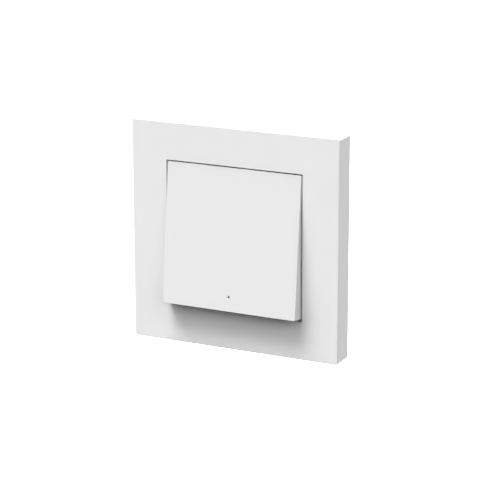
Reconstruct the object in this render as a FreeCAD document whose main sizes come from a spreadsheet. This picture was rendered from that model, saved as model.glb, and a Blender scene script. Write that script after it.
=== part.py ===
import FreeCAD, Part

import os
import re

import Sketcher
from FreeCAD import Vector

# A wireless wall switch: a switch unit with a tilting key, snapped to a plate on the wall, with a
# square cover frame held between them. X runs right, Z up and Y back into the wall. The wall is the
# plane Y = 0, and every depth is measured from it towards the front.

# Every size that can be set by itself, in millimetres and degrees.
SIZES = {
    # Cover frame
    "frame_border": 14.65,
    "face_lift": 2.2,
    "frame_corner": 0.9,
    "frame_edge": 0.35,
    "frame_wall": 1.8,
    "frame_face": 2.0,
    "collar_wall": 1.4,
    "collar_lift": 0.7,
    "ledge_thick": 1.2,
    "ledge_width": 1.75,
    "locating_wall": 1.2,
    "locating_lift": 0.6,
    "locating_gap": 0.4,
    "web_wall": 1.0,
    "web_pitch": 13.0,
    # Mounting plate
    "plate_channel": 4.6,
    "plate_thick": 1.5,
    "plate_corner": 3.0,
    "fixing_margin": 5.0,
    "fixing_hole": 4.0,
    "fixing_head": 7.6,
    "fixing_recess": 0.6,
    "hook_spread": 14.0,
    "hook_width": 6.0,
    "hook_inset": 5.5,
    "hook_wall": 1.2,
    "hook_tall": 3.0,
    "barb_reach": 0.6,
    "barb_flat": 0.3,
    "hook_lead": 0.3,
    "hook_gap": 0.4,
    "catch_gap": 0.05,
    # Rear housing and its battery wells
    "unit_gap": 0.3,
    "rear_corner": 1.5,
    "rear_floor": 1.1,
    "rear_wall": 1.2,
    "cell_web": 2.4,
    "cell_across": 20.0,
    "cell_thick": 2.5,
    "cell_cap": 17.4,
    "cell_step": 0.4,
    "cell_lift": 0.2,
    "cell_gap": 0.3,
    "well_wall": 1.0,
    "well_room": 0.6,
    "lip_reach": 0.9,
    "lip_width": 3.0,
    "lip_thick": 0.55,
    "lip_gap": 0.05,
    # Battery contacts
    "contact_sheet": 0.3,
    "contact_width": 4.0,
    "contact_foot": 3.4,
    "contact_gap": 0.05,
    "slot_side_room": 0.4,
    "slot_into_well": 0.6,
    "leaf_sheet": 0.2,
    "leaf_run": 4.5,
    "leaf_gap": 0.02,
    # Front housing
    "flange_gap": 0.4,
    "flange_thick": 1.4,
    "flange_corner": 1.0,
    "platform_corner": 1.5,
    "platform_wall": 1.2,
    "front_wall": 0.8,
    "board_room": 0.9,
    "pillar_inset": 4.4,
    "pillar_across": 4.0,
    "board_rib_long": 6.0,
    "board_rib_wall": 1.0,
    "pilot_depth": 3.6,
    # Key pivot
    "pivot_lift": 0.6,
    "pin_across": 2.2,
    "pin_gap": 0.05,
    "pin_end_gap": 0.3,
    "ear_radius": 2.0,
    "ear_reach": 0.5,
    "ear_inside": 0.6,
    "ear_floor": 0.5,
    # Tilting key
    "key_tilt": 5.15,
    "key_side_room": 1.175,
    "key_gap_side": 0.675,
    "key_gap_top": 0.55,
    "key_gap_low": 0.9,
    "key_rise": -0.15,
    "key_wall": 1.4,
    "key_rim_room": 1.7,
    "key_low_draft": 4.0,
    "key_top_draft": 1.5,
    "key_side_draft": 1.0,
    "key_edge": 0.2,
    "key_corner": 0.6,
    "rib_wall": 0.9,
    "rib_deep": 2.0,
    "rib_spread": 28.0,
    "rib_top": 6.0,
    # Push switches under the key
    "press_to_light": 6.0,
    "post_across": 2.4,
    "post_gap": 0.15,
    "switch_side": 5.2,
    "switch_tall": 1.5,
    "switch_gap": 0.3,
    "switch_floor": 0.15,
    "plunger_across": 2.6,
    "plunger_gap": 0.05,
    "plunger_lift": 0.6,
    "plunger_proud": 0.8,
    # Indicator and pairing switch
    "light_inset": 3.6,
    "light_hole": 0.8,
    "light_counterbore": 2.4,
    "light_skin": 0.5,
    "guide_across": 2.0,
    "guide_gap": 0.1,
    "guide_end_gap": 1.1,
    "guide_flange": 3.0,
    "guide_flange_thick": 0.5,
    "guide_flange_gap": 0.2,
    "guide_travel": 0.4,
    "tube_across": 4.8,
    "tube_short": 1.35,
    "pairing_side": 2.8,
    "pairing_tall": 0.85,
    "pairing_pin": 1.4,
    "pairing_pin_gap": 0.05,
    "pairing_lift": 0.5,
    # Circuit board and what it carries
    "board_thick": 0.8,
    "board_gap": 0.3,
    "board_corner": 1.2,
    "board_hole_gap": 0.2,
    "chip_side": 5.0,
    "chip_tall": 0.75,
    "part_gap": 1.6,
    "crystal_wide": 3.2,
    "crystal_high": 2.5,
    "crystal_tall": 0.7,
    "reservoir_wide": 7.0,
    "reservoir_high": 4.0,
    "reservoir_tall": 0.8,
    "led_wide": 1.6,
    "led_high": 0.8,
    "led_tall": 0.6,
    "antenna_sheet": 0.2,
    "antenna_strip": 0.7,
    "antenna_pitch": 1.8,
    "antenna_high": 3.2,
    "antenna_stand": 0.35,
    "resistor_pitch_across": 2.0,
    "resistor_pitch_down": 2.0,
    "resistor_wide": 1.0,
    "resistor_high": 0.5,
    "resistor_tall": 0.4,
    # Housing screws
    "screw_across": 1.6,
    "screw_gap": 0.02,
    "screw_head": 3.0,
    "screw_head_thick": 0.5,
    "screw_head_gap": 0.2,
    "screw_slack": 0.3,
    "screw_drive": 1.2,
    "screw_drive_wide": 0.3,
    "screw_drive_deep": 0.3,
}

# Sizes and places that follow from the ones above.
PLACES = {
    "cell_spread": "2 * well_radius + cell_web",
    "platform_inner": "cell_spread + 2 * (well_radius + well_wall + well_room)",
    "platform_side": "platform_inner + 2 * platform_wall",
    "opening_half": "ear_outer + key_side_room + key_wall + key_gap_side",
    "opening_side": "2 * opening_half",
    "frame_side": "opening_side + 2 * frame_border",
    "frame_depth": "housing_front + face_lift",
    "frame_under": "frame_depth - frame_face",
    "frame_inner": "frame_side / 2 - frame_wall",
    "ledge_back": "plate_thick + collar_lift",
    "ledge_front": "ledge_back + ledge_thick",
    "aperture": "opening_side - 2 * ledge_width",
    "locating_side": "2 * (frame_inner - plate_channel - locating_wall)",
    "plate_side": "locating_side - 2 * locating_gap",
    "fixing_pitch": "plate_side - 2 * fixing_margin",
    "hook_place": "rear_side / 2 - rear_wall - hook_inset",
    "hook_outer": "hook_place + hook_wall",
    "barb_outer": "hook_outer + barb_reach",
    "hook_top": "plate_thick + hook_tall",
    "barb_back": "plate_thick + rear_floor + catch_gap",
    "rear_side": "aperture - 2 * unit_gap",
    "rear_floor_front": "plate_thick + rear_floor",
    "well_radius": "cell_across / 2 + cell_gap",
    "cell_back": "plate_thick + cell_lift",
    "cell_front": "cell_back + cell_thick",
    "lip_back": "cell_front + lip_gap",
    "board_back": "lip_back + lip_thick",
    "board_front": "board_back + board_thick",
    "housing_under": "board_front + board_room",
    "housing_front": "housing_under + front_wall",
    "flange_side": "opening_side - 2 * flange_gap",
    "flange_front": "ledge_front + flange_thick",
    "board_side": "platform_inner - 2 * board_gap",
    "pillar_place": "platform_inner / 2 - pillar_inset",
    "pivot_depth": "housing_front + pivot_lift",
    "ear_back": "housing_front - platform_wall",
    "ear_outer": "platform_side / 2 + ear_reach",
    "ear_inner": "platform_inner / 2 - ear_inside",
    "ear_bore_end": "ear_inner + ear_floor",
    "pin_end": "ear_bore_end + pin_end_gap",
    "key_half": "opening_half - key_gap_side",
    "key_rim": "flange_front + key_rim_room",
    "key_top": "opening_half - key_gap_top",
    "key_top_depth": "frame_depth + key_rise",
    "key_slope": "tan(key_tilt)",
    "key_low_slope": "tan(key_tilt + key_low_draft)",
    "key_top_slope": "tan(key_tilt - key_top_draft)",
    "key_low": "opening_half - key_gap_low",
    "key_low_depth": "(key_top_depth + (key_top + key_low + frame_depth * key_low_slope) * key_slope)"
                     " / (1 + key_low_slope * key_slope)",
    "key_low_front": "-key_low + (key_low_depth - frame_depth) * key_low_slope",
    "key_low_rim": "-key_low + (key_rim - frame_depth) * key_low_slope",
    "key_top_rim": "key_top + (key_rim - key_top_depth) * key_top_slope",
    "key_skin": "key_wall / cos(key_tilt)",
    "light_place": "platform_side / 2 - light_inset",
    "press_place": "light_place - press_to_light",
    "switch_front": "board_front + switch_tall",
    "plunger_front": "switch_front + plunger_proud",
    "plunger_back": "board_front + switch_floor + plunger_lift",
    "post_back": "plunger_front + post_gap",
    "pairing_front": "board_front + pairing_tall",
    "guide_flange_back": "pairing_front + pairing_lift",
    "guide_flange_front": "guide_flange_back + guide_flange_thick",
    "guide_front": "key_top_depth + (key_top + light_place) * key_slope - key_skin - guide_end_gap",
    "tube_front": "guide_front - tube_short",
    "guide_room": "guide_flange_front + guide_travel",
    "screw_seat": "plate_thick + screw_head_thick + catch_gap",
}

BACK, SIDE, LEVEL = "XZ_Plane", "YZ_Plane", "XY_Plane"

document = FreeCAD.newDocument("wall_switch")
sheet = document.addObject("Spreadsheet::Sheet", "Sizes")
for row, (size, number) in enumerate(SIZES.items(), start=1):
    sheet.set(f"A{row}", size)
    sheet.set(f"B{row}", str(number))
    sheet.setAlias(f"B{row}", size)
document.recompute()


def bind(formula):
    """Write a formula out in the cells of the sheet."""
    def spell(match):
        word = match.group()
        if word in PLACES:
            return f"({bind(PLACES[word])})"
        return f"Sizes.{word}" if word in SIZES else word
    return re.sub(r"[a-z][a-z_]*", spell, formula)


def value(formula):
    return float(sheet.evalExpression(bind(formula)))


def key_face(height):
    """Depth of the key's sloping front at a height."""
    return f"(key_top_depth + (key_top - ({height})) * key_slope)"


def key_inside(height):
    """Depth of the inner side of the key's front wall at a height."""
    return f"({key_face(height)} - key_skin)"


def key_side(depth):
    """Half width of the key at a depth, drafted so that it is widest at its rim."""
    return f"(key_half + (key_low_depth - ({depth})) * tan(key_side_draft))"


def new_body(label):
    body = document.addObject("PartDesign::Body", label)
    body.Label = label
    return body


def origin(body, role):
    """One of a body's own origin planes or axes, as a feature wants it."""
    return (next(item for item in body.Origin.OriginFeatures if item.Role == role), [""])


def sketch(body, name, plane=BACK, level="0"):
    """An empty sketch. On the back plane it lies at a depth, on the side plane at a width."""
    outline = body.newObject("Sketcher::SketchObject", name)
    outline.AttachmentSupport = (origin(body, plane)[0], "")
    outline.MapMode = "FlatFace"
    outline.setExpression("AttachmentOffset.Base.z", bind(level))
    return outline


def hold(outline, kind, formula, *where):
    """A dimension of the sketch, bound to a formula."""
    index = outline.addConstraint(Sketcher.Constraint(kind, *where, value(formula)))
    outline.setExpression(f"Constraints[{index}]", bind(formula))


def hold_point(outline, line, end, across, up):
    hold(outline, "DistanceX", across, -1, 1, line, end)
    hold(outline, "DistanceY", up, -1, 1, line, end)


def polygon(outline, corners):
    """A closed outline through corners given as pairs of formulas."""
    first = outline.GeometryCount
    points = [Vector(value(across), value(up), 0) for across, up in corners]
    for start, end in zip(points, points[1:] + points[:1]):
        outline.addGeometry(Part.LineSegment(start, end))
    for corner, (across, up) in enumerate(corners):
        after = first + (corner + 1) % len(corners)
        outline.addConstraint(Sketcher.Constraint("Coincident", first + corner, 2, after, 1))
        hold_point(outline, first + corner, 1, across, up)


def box(outline, left, right, low, high):
    polygon(outline, [(left, low), (right, low), (right, high), (left, high)])


def centred_box(outline, wide, high, across="0", up="0"):
    box(outline, f"{across} - ({wide}) / 2", f"{across} + ({wide}) / 2",
        f"{up} - ({high}) / 2", f"{up} + ({high}) / 2")


def round_box(outline, side, radius):
    """A centred square with rounded corners: four lines joined by four equal arcs."""
    first = outline.GeometryCount
    half, corner = value(side) / 2, value(radius)
    straight = half - corner
    turns = [FreeCAD.Rotation(Vector(0, 0, 1), 90 * quarter) for quarter in range(4)]
    for turn in turns:
        ends = [turn.multVec(Vector(across, -half, 0)) for across in (-straight, straight)]
        outline.addGeometry(Part.LineSegment(*ends))
    for quarter, turn in enumerate(turns):
        centre = turn.multVec(Vector(straight, -straight, 0))
        start = FreeCAD.Units.Quantity(f"{90 * (quarter - 1)} deg").getValueAs("rad").Value
        stop = FreeCAD.Units.Quantity(f"{90 * quarter} deg").getValueAs("rad").Value
        circle = Part.Circle(centre, Vector(0, 0, 1), corner)
        outline.addGeometry(Part.ArcOfCircle(circle, start, stop))
    for quarter in range(4):
        line, arc = first + quarter, first + 4 + quarter
        outline.addConstraint(Sketcher.Constraint("Tangent", line, 2, arc, 1))
        outline.addConstraint(Sketcher.Constraint("Tangent", arc, 2, first + (quarter + 1) % 4, 1))
        level, kind = ("Vertical", "DistanceX") if quarter % 2 else ("Horizontal", "DistanceY")
        outline.addConstraint(Sketcher.Constraint(level, line))
        sign = "-" if quarter in (0, 3) else ""
        hold(outline, kind, f"{sign}({side}) / 2", -1, 1, line, 1)
        if quarter:
            outline.addConstraint(Sketcher.Constraint("Equal", first + 4, arc))
    hold(outline, "Radius", radius, first + 4)


def circle(outline, across, up, diameter):
    centre = Vector(value(across), value(up), 0)
    index = outline.addGeometry(Part.Circle(centre, Vector(0, 0, 1), value(diameter) / 2))
    hold_point(outline, index, 3, across, up)
    hold(outline, "Diameter", diameter, index)


def settle(body, feature, grows):
    """Rebuild, and make sure that the feature added or removed material."""
    before = feature.BaseFeature.Shape.Volume if feature.BaseFeature else 0.0
    body.Tip = feature
    document.recompute()
    change = feature.Shape.Volume - before
    if (change <= 0) if grows else (change >= 0):
        raise RuntimeError(f"{body.Label}: {feature.Label} changes nothing")
    return feature


def pad(outline, length, both_ways=False):
    """Grow the sketch towards its normal, which is the front for a sketch on the back plane."""
    body = outline.getParentGeoFeatureGroup()
    feature = body.newObject("PartDesign::Pad", outline.Name + "_pad")
    feature.Profile = outline
    feature.setExpression("Length", bind(length))
    feature.Midplane = both_ways
    return settle(body, feature, grows=True)


def cut(outline, length=None, forward=True, both_ways=False):
    """Cut the sketch into the body, forward with its normal or back, right through by default."""
    body = outline.getParentGeoFeatureGroup()
    feature = body.newObject("PartDesign::Pocket", outline.Name + "_cut")
    feature.Profile = outline
    feature.Reversed = forward
    feature.Midplane = both_ways
    if length is None:
        feature.Type = "ThroughAll"
    else:
        feature.setExpression("Length", bind(length))
    return settle(body, feature, grows=False)


def mirror(body, features, plane, name, grows=True):
    feature = body.newObject("PartDesign::Mirrored", name)
    feature.Originals = features
    feature.MirrorPlane = origin(body, plane)
    return settle(body, feature, grows)


def edges_where(feature, test):
    """Names of the edges whose box passes a test."""
    return [f"Edge{number}" for number, edge in enumerate(feature.Shape.Edges, start=1)
            if test(edge.BoundBox, edge)]


def faces_where(feature, test):
    return [f"Face{number}" for number, face in enumerate(feature.Shape.Faces, start=1)
            if test(face.normalAt(0, 0), face)]


def fillet(body, names, radius, name):
    base = body.Tip
    feature = body.newObject("PartDesign::Fillet", name)
    feature.Base = (base, names)
    feature.setExpression("Radius", bind(radius))
    body.Tip = feature
    document.recompute()
    return feature


def opposite_corners(place):
    """Two places on a diagonal, as pairs of formulas."""
    return [(place, place), (f"-{place}", f"-{place}")]


def make_cover_frame():
    """A moulded shell, open behind, whose collar and ledge are clamped by the switch unit."""
    body = new_body("cover_frame")
    outline = sketch(body, "frame_outline")
    round_box(outline, "frame_side", "frame_corner")
    pad(outline, "frame_depth")
    front = -value("frame_depth")
    rim = edges_where(body.Tip, lambda span, edge: span.YMax < front + 1e-4)
    fillet(body, rim, "frame_edge", "frame_front_edge")

    hollow = sketch(body, "frame_hollow")
    centred_box(hollow, "2 * frame_inner", "2 * frame_inner")
    cut(hollow, "frame_under")

    collar = sketch(body, "frame_collar", level="ledge_back")
    for side in ("opening_side + 2 * collar_wall", "aperture"):
        centred_box(collar, side, side)
    pad(collar, "frame_under - ledge_back")
    opening = sketch(body, "frame_opening", level="ledge_front")
    centred_box(opening, "opening_side", "opening_side")
    cut(opening)

    locating = sketch(body, "frame_locating_wall", level="locating_lift")
    for side in ("locating_side + 2 * locating_wall", "locating_side"):
        centred_box(locating, side, side)
    pad(locating, "frame_under - locating_lift")

    web = sketch(body, "frame_web", level="ledge_back")
    box(web, "-web_wall / 2", "web_wall / 2",
        "opening_half + collar_wall / 2", "frame_inner + frame_wall / 2")
    web_pad = pad(web, "frame_under - ledge_back")
    spread_webs(body, web_pad)
    return body


def spread_webs(body, web_pad):
    """Five webs along each side of the frame: a row each way from the middle, turned four times."""
    webs = body.newObject("PartDesign::MultiTransform", "frame_webs")
    webs.Originals = [web_pad]
    rows = []
    for name, reversed_row in (("frame_web_row", False), ("frame_web_row_back", True)):
        row = body.newObject("PartDesign::LinearPattern", name)
        row.Direction = origin(body, "X_Axis")
        row.Reversed = reversed_row
        row.setExpression("Length", bind("2 * web_pitch"))
        row.Occurrences = 3
        rows.append(row)
    turns = body.newObject("PartDesign::PolarPattern", "frame_web_turns")
    turns.Axis = origin(body, "Y_Axis")
    turns.Angle = 360
    turns.Occurrences = 4
    webs.Transformations = rows + [turns]
    settle(body, webs, grows=True)


def make_mounting_plate():
    """The plate that is screwed to the wall, with four snap hooks for the unit."""
    body = new_body("mounting_plate")
    outline = sketch(body, "plate_outline")
    round_box(outline, "plate_side", "plate_corner")
    pad(outline, "plate_thick")

    holes = sketch(body, "plate_fixing_holes")
    heads = sketch(body, "plate_head_recesses", level="plate_thick - fixing_recess")
    for across, up in (("1", "0"), ("-1", "0"), ("0", "1"), ("0", "-1")):
        circle(holes, f"{across} * fixing_pitch / 2", f"{up} * fixing_pitch / 2", "fixing_hole")
        circle(heads, f"{across} * fixing_pitch / 2", f"{up} * fixing_pitch / 2", "fixing_head")
    cut(holes)
    cut(heads)

    profile = sketch(body, "plate_hook", SIDE, "hook_spread / 2")
    polygon(profile, [
        ("-plate_thick / 2", "hook_place"),
        ("-plate_thick / 2", "hook_outer"),
        ("-barb_back", "hook_outer"),
        ("-barb_back", "barb_outer"),
        ("-(barb_back + barb_flat)", "barb_outer"),
        ("-hook_top", "hook_outer - hook_lead"),
        ("-hook_top", "hook_place"),
    ])
    hook = pad(profile, "hook_width", both_ways=True)
    window = sketch(body, "plate_barb_window")
    centred_box(window, "hook_width", "barb_reach + hook_gap", "hook_spread / 2",
                "hook_outer + (barb_reach + hook_gap) / 2")
    shadow = cut(window, "plate_thick")
    hooks = body.newObject("PartDesign::MultiTransform", "plate_hooks")
    hooks.Originals = [hook, shadow]
    sides = []
    for name, plane in (("plate_hooks_across", SIDE), ("plate_hooks_down", LEVEL)):
        side = body.newObject("PartDesign::Mirrored", name)
        side.MirrorPlane = origin(body, plane)
        sides.append(side)
    hooks.Transformations = sides
    settle(body, hooks, grows=True)
    return body


def make_rear_housing():
    """The unit's rear shell: a shallow tray with two battery wells open to the back."""
    body = new_body("rear_housing")
    outline = sketch(body, "rear_outline", level="plate_thick")
    round_box(outline, "rear_side", "rear_corner")
    pad(outline, "ledge_front - plate_thick")
    tray = sketch(body, "rear_tray", level="rear_floor_front")
    centred_box(tray, "rear_side - 2 * rear_wall", "rear_side - 2 * rear_wall")
    cut(tray)

    rings = sketch(body, "well_rings", level="plate_thick")
    wells = sketch(body, "well_bores", level="plate_thick")
    lips = sketch(body, "well_lips", level="lip_back")
    slots = sketch(body, "well_contact_slots", level="rear_floor_front")
    for side in ("", "-"):
        across = f"{side}cell_spread / 2"
        circle(rings, across, "0", "2 * (well_radius + well_wall)")
        circle(wells, across, "0", "2 * well_radius")
        for edge in ("", "-"):
            centred_box(lips, "2 * lip_reach", "lip_width", f"{across} + {edge}well_radius", "0")
        half = "(contact_width / 2 + slot_side_room)"
        box(slots, f"{across} - {half}", f"{across} + {half}",
            "well_radius - slot_into_well", "well_radius + well_wall + slot_side_room")
    pad(rings, "board_back - plate_thick")
    cut(wells)
    pad(lips, "lip_thick")
    cut(slots)

    windows = sketch(body, "rear_hook_windows", level="plate_thick")
    for side in ("", "-"):
        for up in ("", "-"):
            middle = f"{up}(hook_place + (hook_wall + barb_reach) / 2 - hook_gap)"
            centred_box(windows, "hook_width + 2 * hook_gap", "hook_wall + barb_reach",
                        f"{side}hook_spread / 2", middle)
    cut(windows)

    holes = sketch(body, "rear_screw_holes", level="plate_thick")
    heads = sketch(body, "rear_screw_heads", level="plate_thick")
    for across, up in opposite_corners("pillar_place"):
        circle(holes, across, up, "screw_across + 2 * screw_head_gap")
        circle(heads, across, up, "screw_head + 2 * screw_head_gap")
    cut(holes)
    cut(heads, "screw_seat - plate_thick")
    return body


def make_front_housing():
    """The unit's front shell: the flange that clamps the frame, and a platform with the pivot ears."""
    body = new_body("front_housing")
    flange = sketch(body, "flange_outline", level="ledge_front")
    round_box(flange, "flange_side", "flange_corner")
    pad(flange, "flange_thick")
    platform = sketch(body, "platform_outline", level="ledge_front")
    round_box(platform, "platform_side", "platform_corner")
    pad(platform, "housing_front - ledge_front")

    ear = sketch(body, "ear_outline", SIDE, "ear_inner")
    ear_profile(ear)
    ear_pad = pad(ear, "ear_outer - ear_inner")
    hollow = sketch(body, "platform_hollow", level="ledge_front")
    centred_box(hollow, "platform_inner", "platform_inner")
    cut(hollow, "housing_under - ledge_front")
    bore = sketch(body, "ear_bore", SIDE, "ear_outer")
    circle(bore, "-pivot_depth", "0", "pin_across + 2 * pin_gap")
    ear_bore = cut(bore, "ear_outer - ear_bore_end", forward=False)
    mirror(body, [ear_pad, ear_bore], SIDE, "ear_other_side")

    windows = sketch(body, "switch_windows", level="board_front")
    for up in ("", "-"):
        centred_box(windows, "switch_side + 2 * switch_gap", "switch_side + 2 * switch_gap",
                    "0", f"{up}press_place")
    cut(windows)

    tube = sketch(body, "light_tube", level="housing_under")
    circle(tube, "0", "-light_place", "tube_across")
    pad(tube, "tube_front - housing_under")
    passage = sketch(body, "light_tube_bore", level="housing_under")
    circle(passage, "0", "-light_place", "guide_across + 2 * guide_gap")
    cut(passage)
    room = sketch(body, "light_tube_room", level="board_front")
    circle(room, "0", "-light_place", "guide_flange + 2 * guide_flange_gap")
    cut(room, "guide_room - board_front")

    ribs = sketch(body, "board_ribs", level="board_front")
    for across in ("", "-"):
        for up in ("", "-"):
            centred_box(ribs, "board_rib_wall", "board_rib_long",
                        f"{across}(board_side / 2 - board_rib_wall)", f"{up}pillar_place / 2")
    pad(ribs, "board_room + front_wall / 2")

    pillars = sketch(body, "pillars", level="rear_floor_front")
    pilots = sketch(body, "pillar_pilots", level="rear_floor_front")
    for across, up in opposite_corners("pillar_place"):
        circle(pillars, across, up, "pillar_across")
        circle(pilots, across, up, "screw_across + 2 * screw_gap")
    pad(pillars, "housing_under - rear_floor_front + front_wall / 2")
    cut(pilots, "pilot_depth")
    return body


def ear_profile(outline):
    """A round-topped lug about the pivot, seen from the side, with its foot in the platform."""
    centre = Vector(-value("pivot_depth"), 0, 0)
    radius = value("ear_radius")
    foot = -value("ear_back")
    top = Part.ArcOfCircle(Part.Circle(centre, Vector(0, 0, 1), radius),
                           *(FreeCAD.Units.Quantity(f"{angle} deg").getValueAs("rad").Value
                             for angle in (90, 270)))
    upper, lower = Vector(centre.x, radius, 0), Vector(centre.x, -radius, 0)
    outline.addGeometry(top)
    outline.addGeometry(Part.LineSegment(lower, Vector(foot, -radius, 0)))
    outline.addGeometry(Part.LineSegment(Vector(foot, -radius, 0), Vector(foot, radius, 0)))
    outline.addGeometry(Part.LineSegment(Vector(foot, radius, 0), upper))
    outline.addConstraint(Sketcher.Constraint("Tangent", 0, 2, 1, 1))
    outline.addConstraint(Sketcher.Constraint("Coincident", 1, 2, 2, 1))
    outline.addConstraint(Sketcher.Constraint("Coincident", 2, 2, 3, 1))
    outline.addConstraint(Sketcher.Constraint("Tangent", 3, 2, 0, 1))
    outline.addConstraint(Sketcher.Constraint("Horizontal", 1))
    outline.addConstraint(Sketcher.Constraint("Horizontal", 3))
    outline.addConstraint(Sketcher.Constraint("Vertical", 2))
    hold_point(outline, 0, 3, "-pivot_depth", "0")
    hold(outline, "Radius", "ear_radius", 0)
    hold(outline, "DistanceX", "-ear_back", -1, 1, 2, 1)


def make_key():
    """The tilting key: a drafted wedge, hollowed to an even wall, with pins, posts and ribs inside."""
    body = new_body("rocker")
    profile = sketch(body, "key_side", SIDE)
    polygon(profile, [
        ("-key_top_depth", "key_top"),
        ("-key_low_depth", "key_low_front"),
        ("-key_rim", "key_low_rim"),
        ("-key_rim", "key_top_rim"),
    ])
    wide = "key_half + key_wall"
    pad(profile, f"2 * ({wide})", both_ways=True)
    plan = sketch(body, "key_side_faces", LEVEL)
    beyond = "key_low_depth + key_wall"
    for side in ("", "-"):
        polygon(plan, [
            (f"{side}({key_side(beyond)})", f"-({beyond})"),
            (f"{side}({wide})", f"-({beyond})"),
            (f"{side}({wide})", "0"),
            (f"{side}({key_side('0')})", "0"),
        ])
    trimmed = cut(plan, both_ways=True)
    skin = body.newObject("PartDesign::Thickness", "key_shell")
    skin.Base = (trimmed, faces_where(trimmed, lambda normal, face: normal.y > 0.9))
    skin.setExpression("Value", bind("key_wall"))
    skin.Reversed = True
    skin.Join = "Intersection"
    settle(body, skin, grows=False)
    round_key(body)

    light = sketch(body, "key_light_hole")
    circle(light, "0", "-light_place", "light_hole")
    cut(light)
    well = sketch(body, "key_light_well")
    circle(well, "0", "-light_place", "light_counterbore")
    cut(well, f"{key_face('-light_place')} - light_skin")

    pin = sketch(body, "key_pin", SIDE, "pin_end")
    circle(pin, "-pivot_depth", "0", "pin_across")
    pin_pad = pad(pin, "key_half - key_wall / 2 - pin_end")
    mirror(body, [pin_pad], SIDE, "key_pin_other_side")

    for name, up in (("key_upper_post", "press_place"), ("key_lower_post", "-press_place")):
        post = sketch(body, name, level="post_back")
        circle(post, "0", up, "post_across")
        pad(post, f"{key_inside(up)} + key_wall / 2 - post_back")

    rib = sketch(body, "key_rib", SIDE, "rib_spread / 2")
    low = "key_low_front + key_wall / 2"
    polygon(rib, [
        (f"-({key_inside('rib_top')} - rib_deep)", "rib_top"),
        (f"-({key_inside('rib_top')} + key_wall / 2)", "rib_top"),
        (f"-({key_inside(low)} + key_wall / 2)", low),
        (f"-({key_inside(low)} - rib_deep)", low),
    ])
    rib_pad = pad(rib, "rib_wall", both_ways=True)
    mirror(body, [rib_pad], SIDE, "key_rib_other_side")
    return body


def round_key(body):
    """Round the four corners of the skirt, then the edge round the front face."""
    base = body.Tip
    outer = [face for face in base.Shape.Faces if face.normalAt(0, 0).y < -0.9]
    plate = max(outer, key=lambda face: -face.CenterOfMass.y)
    tops = [vertex.Point for vertex in plate.Vertexes]
    corners = edges_where(base, lambda span, edge: any(
        vertex.Point.isEqual(top, 1e-4) for vertex in edge.Vertexes for top in tops)
        and not all(any(vertex.Point.isEqual(top, 1e-4) for top in tops) for vertex in edge.Vertexes))
    fillet(body, corners, "key_corner", "key_corners")
    base = body.Tip
    outer = [face for face in base.Shape.Faces if face.normalAt(0, 0).y < -0.9]
    plate = max(outer, key=lambda face: -face.CenterOfMass.y)
    rim = edges_where(base, lambda span, edge: any(edge.isSame(side) for side in plate.Edges))
    fillet(body, rim, "key_edge", "key_front_edge")


def make_board():
    body = new_body("circuit_board")
    outline = sketch(body, "board_outline", level="board_back")
    round_box(outline, "board_side", "board_corner")
    for across, up in opposite_corners("pillar_place"):
        circle(outline, across, up, "pillar_across + 2 * board_hole_gap")
    pad(outline, "board_thick")
    return body


def make_cell(label, side):
    """A sealed coin cell: its wide can faces the wall, and its cap is the narrower front."""
    body = new_body(label)
    profile = sketch(body, label + "_section", LEVEL)
    axis = f"{side}cell_spread / 2"
    polygon(profile, [
        (axis, "-cell_back"),
        (f"{axis} + cell_across / 2", "-cell_back"),
        (f"{axis} + cell_across / 2", "-(cell_front - cell_step)"),
        (f"{axis} + cell_cap / 2", "-cell_front"),
        (axis, "-cell_front"),
    ])
    turned = body.newObject("PartDesign::Revolution", label + "_turned")
    turned.Profile = profile
    turned.ReferenceAxis = (profile, ["Edge5"])
    turned.Angle = 360
    settle(body, turned, grows=True)
    return body


def make_positive_contact(label, side):
    """A bent strip: its foot lies on the board, and its leg runs down beside the cell."""
    body = new_body(label)
    inner = "cell_across / 2 + contact_gap"
    profile = sketch(body, label + "_strip", SIDE, f"{side}cell_spread / 2")
    polygon(profile, [
        ("-board_back", inner),
        ("-board_back", f"{inner} + contact_foot"),
        ("-(board_back - contact_sheet)", f"{inner} + contact_foot"),
        ("-(board_back - contact_sheet)", f"{inner} + contact_sheet"),
        ("-(rear_floor_front + contact_gap)", f"{inner} + contact_sheet"),
        ("-(rear_floor_front + contact_gap)", inner),
    ])
    pad(profile, "contact_width", both_ways=True)
    return body


def make_negative_contact(label, side):
    """A leaf spring on the board's back, bowed towards the cell's cap."""
    body = new_body(label)
    centre = f"{side}cell_spread / 2"
    touch = "(cell_front + leaf_gap)"
    profile = sketch(body, label + "_leaf", LEVEL)
    polygon(profile, [
        (f"{centre} - leaf_run", "-board_back"),
        (f"{centre} - leaf_run / 2", "-board_back"),
        (f"{centre} + leaf_run / 2", f"-({touch} + leaf_sheet)"),
        (f"{centre} + leaf_run", f"-({touch} + 2 * leaf_sheet)"),
        (f"{centre} + leaf_run", f"-({touch} + leaf_sheet)"),
        (f"{centre} + leaf_run / 2", f"-{touch}"),
        (f"{centre} - leaf_run / 2", "-(board_back - leaf_sheet)"),
        (f"{centre} - leaf_run", "-(board_back - leaf_sheet)"),
    ])
    pad(profile, "contact_width", both_ways=True)
    return body


def make_switch(label, up):
    """The body of a push switch, with a blind bore for its plunger."""
    body = new_body(label + "_switch_body")
    outline = sketch(body, label + "_switch_outline", level="board_front")
    centred_box(outline, "switch_side", "switch_side", "0", up)
    pad(outline, "switch_tall")
    bore = sketch(body, label + "_switch_bore", level="board_front + switch_floor")
    circle(bore, "0", up, "plunger_across + 2 * plunger_gap")
    cut(bore)
    return body


def make_plunger(label, up):
    body = new_body(label + "_plunger")
    outline = sketch(body, label + "_plunger_outline", level="plunger_back")
    circle(outline, "0", up, "plunger_across")
    pad(outline, "plunger_front - plunger_back")
    return body


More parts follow.
